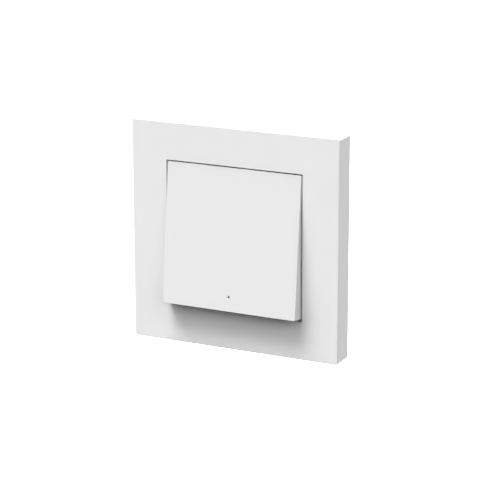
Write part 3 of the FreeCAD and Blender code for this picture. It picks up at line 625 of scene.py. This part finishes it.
class SwitchLooks(bpy.types.PropertyGroup):
    frame_colour: FloatVectorProperty(
        name="Frame colour", description="Colour of the cover frame's plastic",
        subtype="COLOR", size=3, min=0.0, max=1.0, default=(0.826, 0.826, 0.824))
    # The key's colour is the frame's white plastic painted darker as shade, so that its upward
    # tilted face, lit more from above, looks as bright as the frame.
    key_shaded_colour: FloatVectorProperty(
        name="Key colour", description="Colour of the tilting key's plastic",
        subtype="COLOR", size=3, min=0.0, max=1.0, default=(0.676, 0.676, 0.674))
    # Colour of the painted shade in the key's pinhole and light well, near black.
    pinhole_shade_colour: FloatVectorProperty(
        name="Lining colour", description="Colour of the paint inside the key's pinhole",
        subtype="COLOR", size=3, min=0.0, max=1.0, default=(0.02, 0.02, 0.022))
    housing_colour: FloatVectorProperty(
        name="Housing colour", description="Colour of the inner housing's plastic",
        subtype="COLOR", size=3, min=0.0, max=1.0, default=(0.74, 0.74, 0.73))
    plate_colour: FloatVectorProperty(
        name="Plate colour", description="Colour of the mounting plate's plastic",
        subtype="COLOR", size=3, min=0.0, max=1.0, default=(0.52, 0.53, 0.54))
    board_colour: FloatVectorProperty(
        name="Board colour", description="Colour of the circuit board's solder mask",
        subtype="COLOR", size=3, min=0.0, max=1.0, default=(0.015, 0.15, 0.06))
    plastic_roughness: FloatProperty(
        name="Plastic roughness", description="How dull the white plastic is",
        subtype="FACTOR", min=0.0, max=1.0, default=0.42)
    grain_size: FloatProperty(
        name="Grain size", description="Size of the lumps of the moulded grain",
        unit="LENGTH", subtype="DISTANCE", min=0.00002, max=0.001, precision=5,
        default=0.16 * MM)
    grain_height: FloatProperty(
        name="Grain height", description="Depth of the moulded grain and waviness",
        unit="LENGTH", subtype="DISTANCE", min=0.0, max=0.001, precision=5, default=0.009 * MM)
    cell_diameter: FloatProperty(
        name="Cell diameter", description="Width of a coin cell's can",
        unit="LENGTH", subtype="DISTANCE", min=0.005, max=0.03, default=20 * MM)
    cell_edge: FloatProperty(
        name="Cell edge", description="Rounding of a coin cell's can and cap",
        unit="LENGTH", subtype="DISTANCE", min=0.0001, max=0.001, precision=5, default=0.3 * MM)
    crimp_width: FloatProperty(
        name="Crimp width", description="Width of the can's rolled edge outside the cap",
        unit="LENGTH", subtype="DISTANCE", min=0.0003, max=0.004, precision=5, default=1.1 * MM)
    cap_step: FloatProperty(
        name="Cap step", description="How far the cap stands in front of the can's crimp",
        unit="LENGTH", subtype="DISTANCE", min=0.0001, max=0.001, precision=5, default=0.4 * MM)
    solder_length: FloatProperty(
        name="Solder length", description="Length of a solder fillet along a contact's foot",
        unit="LENGTH", subtype="DISTANCE", min=0.0003, max=0.006, precision=5, default=3.4 * MM)
    solder_width: FloatProperty(
        name="Solder width", description="Width of a solder fillet",
        unit="LENGTH", subtype="DISTANCE", min=0.0003, max=0.004, precision=5, default=1.1 * MM)
    solder_height: FloatProperty(
        name="Solder height", description="How far a solder fillet stands off the board",
        unit="LENGTH", subtype="DISTANCE", min=0.0001, max=0.001, precision=5,
        default=0.26 * MM)
    part_pitch: FloatProperty(
        name="Part pitch", description="Spacing of the small parts in a row on the board",
        unit="LENGTH", subtype="DISTANCE", min=0.001, max=0.006, precision=5, default=2 * MM)
    part_length: FloatProperty(
        name="Part length", description="Length of a small part on the board",
        unit="LENGTH", subtype="DISTANCE", min=0.0003, max=0.003, precision=5, default=1 * MM)


class StudioSettings(bpy.types.PropertyGroup):
    floor_drop: FloatProperty(
        name="Floor drop", description="How far the floor lies under the middle of the switch",
        unit="LENGTH", subtype="DISTANCE", min=0.1, max=2.0, default=0.5)
    floor_radius: FloatProperty(
        name="Floor radius", description="Radius of the round floor and of its upright surround",
        unit="LENGTH", subtype="DISTANCE", min=2.0, max=6.0, default=5.0)
    floor_colour: FloatVectorProperty(
        name="Floor colour", description="Colour of the floor and its surround",
        subtype="COLOR", size=3, min=0.0, max=1.0, default=(0.9, 0.9, 0.9))
    cove_steps: IntProperty(
        name="Cove steps", description="Faces across the curve between the floor and its surround",
        min=4, max=64, default=24)
    low_panels: FloatVectorProperty(
        name="Low panels",
        description="Brightness below the horizon, at the back left, front left and back right",
        size=3, min=0.0, max=50.0, default=(0.3, 0.0, 1.27))
    side_panels: FloatVectorProperty(
        name="Side panels", description="Brightness just above the horizon, in the same order",
        size=3, min=0.0, max=50.0, default=(0.3, 0.0, 0.0))
    upper_panels: FloatVectorProperty(
        name="Upper panels", description="Brightness about half way up, in the same order",
        size=3, min=0.0, max=50.0, default=(0.3, 0.0, 0.0))
    high_panels: FloatVectorProperty(
        name="High panels", description="Brightness high up, in the same order",
        size=3, min=0.0, max=50.0, default=(0.5, 2.6, 0.1))
    softboxes: FloatVectorProperty(
        name="Softboxes", description="Brightness of the narrow panels at the front, from the left",
        size=5, min=0.0, max=50.0, default=(2.7, 3.6, 1.8, 3.8, 4.2))
    overhead_strength: FloatProperty(
        name="Overhead strength", description="Strength of the wide lamp overhead",
        min=0.0, max=20.0, default=8.6)
    overhead_angle: FloatProperty(
        name="Overhead width", description="How wide the overhead lamp looks from the switch",
        subtype="ANGLE", min=0.0, max=math.pi, default=math.radians(40))
    overhead_place: FloatVectorProperty(
        name="Overhead place", description="Where the overhead lamp hangs",
        unit="LENGTH", subtype="TRANSLATION", size=3, default=(-0.44, -0.27, 2.0))
    camera_azimuth: FloatProperty(
        name="Camera azimuth", description="How far the camera stands to the right of the front",
        subtype="ANGLE", min=-math.pi, max=math.pi, default=math.radians(26.56))
    camera_elevation: FloatProperty(
        name="Camera elevation", description="How far the camera looks down",
        subtype="ANGLE", min=-math.pi / 2, max=math.pi / 2, default=math.radians(15.17))
    camera_roll: FloatProperty(
        name="Camera roll", description="Turn of the camera about its line of sight",
        subtype="ANGLE", min=-math.pi, max=math.pi, default=math.radians(-0.12))
    camera_distance: FloatProperty(
        name="Camera distance", description="Distance from the camera to the point that it aims at",
        unit="LENGTH", subtype="DISTANCE", min=0.2, max=5.0, default=0.797)
    camera_lens: FloatProperty(
        name="Lens", description="Focal length on a sensor that is 36 mm wide",
        min=20.0, max=400.0, default=157.6)
    aim: FloatVectorProperty(
        name="Aim", description="Point that the camera aims at",
        unit="LENGTH", subtype="TRANSLATION", size=3, precision=5,
        default=(-2.06 * MM, 0.0, -2.34 * MM))


# Operators

class SWITCH_OT_white_plastics(bpy.types.Operator):
    """Finish the frame, the key, the two housings, the plate and the light guide"""

    bl_idname = "wall_switch.white_plastics"
    bl_label = "Moulded plastics"

    def execute(self, context):
        looks = context.scene.switch_looks
        coat_node("cover_frame", white_plastic("frame_white", looks.frame_colour, looks))
        # The key is a shaded copy of the frame's white, painted darker as shade, with painted shade
        # in its pinhole.
        coat_node("rocker", white_plastic("key_white", looks.key_shaded_colour, looks, shaded_pinhole=True))
        housing = white_plastic("housing_white", looks.housing_colour, looks, marks=True)
        coat_node("rear_housing", housing)
        coat_node("front_housing", housing)
        plate = white_plastic("plate_grey", looks.plate_colour, looks, marks=True)
        coat_node("mounting_plate", plate)
        coat_node("light_guide", clear_plastic("guide_clear"))
        return {"FINISHED"}


class SWITCH_OT_circuit(bpy.types.Operator):
    """Finish the circuit board, its small parts and its antenna"""

    bl_idname = "wall_switch.circuit"
    bl_label = "Circuit"

    def execute(self, context):
        looks = context.scene.switch_looks
        coat_node("circuit_board", board_laminate("board_green", looks))
        coat_node("radio_chip", chip_epoxy("chip_black"))
        coat_node("chip_components", chip_part("component_tan", looks))
        coat_node("reservoir_capacitor", reservoir_case("reservoir_amber"))
        coat_node("status_led", lamp_resin("led_white"))
        coat_node("quartz_crystal", metal("crystal_can", (0.74, 0.73, 0.71), roughness=0.3,
                                          brushed=(1.0, 1.0, 0.15)))
        coat_node("antenna", metal("antenna_gold", (0.86, 0.62, 0.27), roughness=0.34,
                                   brushed=(0.2, 1.0, 1.0)))
        return {"FINISHED"}


class SWITCH_OT_push_switches(bpy.types.Operator):
    """Finish the push switches, their plungers and the pairing switch"""

    bl_idname = "wall_switch.push_switches"
    bl_label = "Push switches"

    def execute(self, context):
        black = dull_nylon("switch_black", (0.035, 0.035, 0.037))
        red = dull_nylon("plunger_red", (0.5, 0.035, 0.025))
        for place in ("upper", "lower", "pairing"):
            coat_node(place + "_switch_body", black)
            coat_node(place + "_plunger", red)
        return {"FINISHED"}


class SWITCH_OT_metal_parts(bpy.types.Operator):
    """Finish the battery contacts and the housing screws"""

    bl_idname = "wall_switch.metal_parts"
    bl_label = "Contacts and screws"

    def execute(self, context):
        spring = metal("contact_spring", (0.78, 0.74, 0.66), roughness=0.3,
                       brushed=(1.0, 0.2, 1.0))
        for side in SIDES:
            coat_node("positive_contact_" + side, spring)
            coat_node("negative_contact_" + side, spring)
        coat_node("housing_screws", metal("screw_steel", (0.62, 0.62, 0.63), roughness=0.32,
                                          spots=0.08))
        return {"FINISHED"}


class SWITCH_OT_coin_cells(bpy.types.Operator):
    """Build the two coin cells with their crimps, caps and gaskets"""

    bl_idname = "wall_switch.coin_cells"
    bl_label = "Coin cells"

    def execute(self, context):
        looks = context.scene.switch_looks
        steel = metal("cell_steel", (0.78, 0.78, 0.77), roughness=0.24, brushed=(1.0, 1.0, 0.12))
        nylon = dull_nylon("cell_gasket_nylon", (0.03, 0.03, 0.03))
        for side in SIDES:
            node = "coin_cell_" + side
            low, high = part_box(node)
            centre = (low + high) / 2
            back, front = -high.y, -low.y
            can = new_piece("coin_cell_can_" + side, cell_can(centre, back, front, looks),
                            steel, UNIT, smooth_angle=50.0)
            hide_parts(node)
            new_piece("coin_cell_gasket_" + side, cell_gasket(centre, front, looks),
                      nylon, UNIT)
        return {"FINISHED"}


class SWITCH_OT_solder(bpy.types.Operator):
    """Lay the solder fillets at the ends of the battery contacts"""

    bl_idname = "wall_switch.solder"
    bl_label = "Solder fillets"

    def execute(self, context):
        looks = context.scene.switch_looks
        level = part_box("circuit_board")[1].y
        places = []
        for side in SIDES:
            low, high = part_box("positive_contact_" + side)
            places.append(((low.x + high.x) / 2, high.z, 0.0))
            low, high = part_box("negative_contact_" + side)
            places.append((low.x, (low.z + high.z) / 2, math.pi / 2))
        tin = metal("solder_tin", (0.8, 0.8, 0.79), roughness=0.2, spots=0.05)
        new_piece("solder_fillets", solder_fillets(places, level, looks),
                  tin, UNIT, smooth_angle=60.0)
        return {"FINISHED"}


class SWITCH_OT_stage(bpy.types.Operator):
    """Set the pale floor, the soft light and the camera"""

    bl_idname = "wall_switch.stage"
    bl_label = "Stage"

    def execute(self, context):
        studio = context.scene.switch_studio
        lay_floor(studio)
        light_room(context.scene, studio)
        hang_lamp(studio)
        place_camera(context.scene, studio)
        context.scene.view_settings.view_transform = "Standard"
        return {"FINISHED"}


OPERATORS = (
    SWITCH_OT_white_plastics,
    SWITCH_OT_circuit,
    SWITCH_OT_push_switches,
    SWITCH_OT_metal_parts,
    SWITCH_OT_coin_cells,
    SWITCH_OT_solder,
    SWITCH_OT_stage,
)


class SWITCH_PT_sidebar(bpy.types.Panel):
    """Lists the steps that finish the wall switch, with their sizes and colours"""

    bl_idname = "SWITCH_PT_sidebar"
    bl_label = "Wall switch"
    bl_space_type = "VIEW_3D"
    bl_region_type = "UI"
    bl_category = "Wall switch"

    def draw(self, context):
        for operator in OPERATORS:
            self.layout.operator(operator.bl_idname)
        for group in (context.scene.switch_looks, context.scene.switch_studio):
            column = self.layout.column()
            for name in group.__annotations__:
                column.prop(group, name)


CLASSES = (SwitchLooks, StudioSettings, *OPERATORS, SWITCH_PT_sidebar)


def register():
    for item in CLASSES:
        bpy.utils.register_class(item)
    bpy.types.Scene.switch_looks = PointerProperty(type=SwitchLooks)
    bpy.types.Scene.switch_studio = PointerProperty(type=StudioSettings)


def unregister():
    del bpy.types.Scene.switch_studio
    del bpy.types.Scene.switch_looks
    for item in reversed(CLASSES):
        bpy.utils.unregister_class(item)


def main():
    register()
    for operator in OPERATORS:
        family, step = operator.bl_idname.split(".")
        getattr(getattr(bpy.ops, family), step)()


if __name__ == "__main__":
    main()
